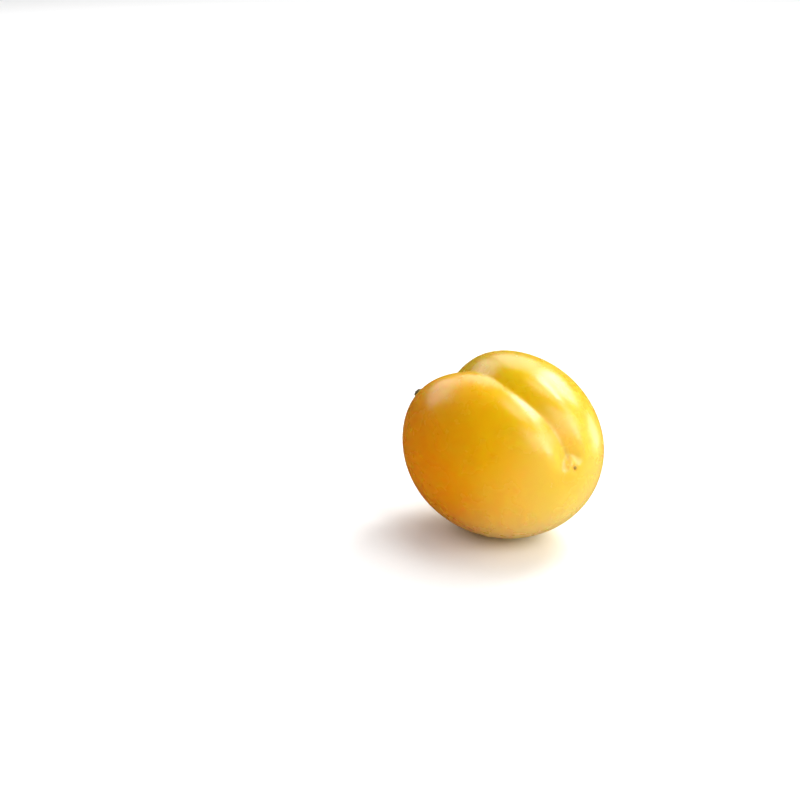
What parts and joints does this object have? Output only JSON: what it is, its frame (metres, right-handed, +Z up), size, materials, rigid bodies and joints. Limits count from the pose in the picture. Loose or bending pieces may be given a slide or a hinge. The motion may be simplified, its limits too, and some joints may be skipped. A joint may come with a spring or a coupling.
{
  "type": "plum",
  "caption": "Yellow plum lying on its side as picked: an oval fruit with a suture groove from the style's scar to the hollow at its stalk end, and a short curved stalk.",
  "frame": {"origin": "middle of the small flat spot that the plum rests on", "axes": "+Z up, square to the flat spot; +X along the plum's long axis towards the blossom end, with the stalk at -X; the suture is uppermost and leans towards -Y"},
  "size_m": [0.0555, 0.0377, 0.0373],
  "materials": {
    "plum_skin": "satin",
    "plum_stalk": "matte"
  },
  "bodies": {
    "root": {"fruit": "plum_skin", "stalk": "plum_stalk"}
  },
  "joints": []
}
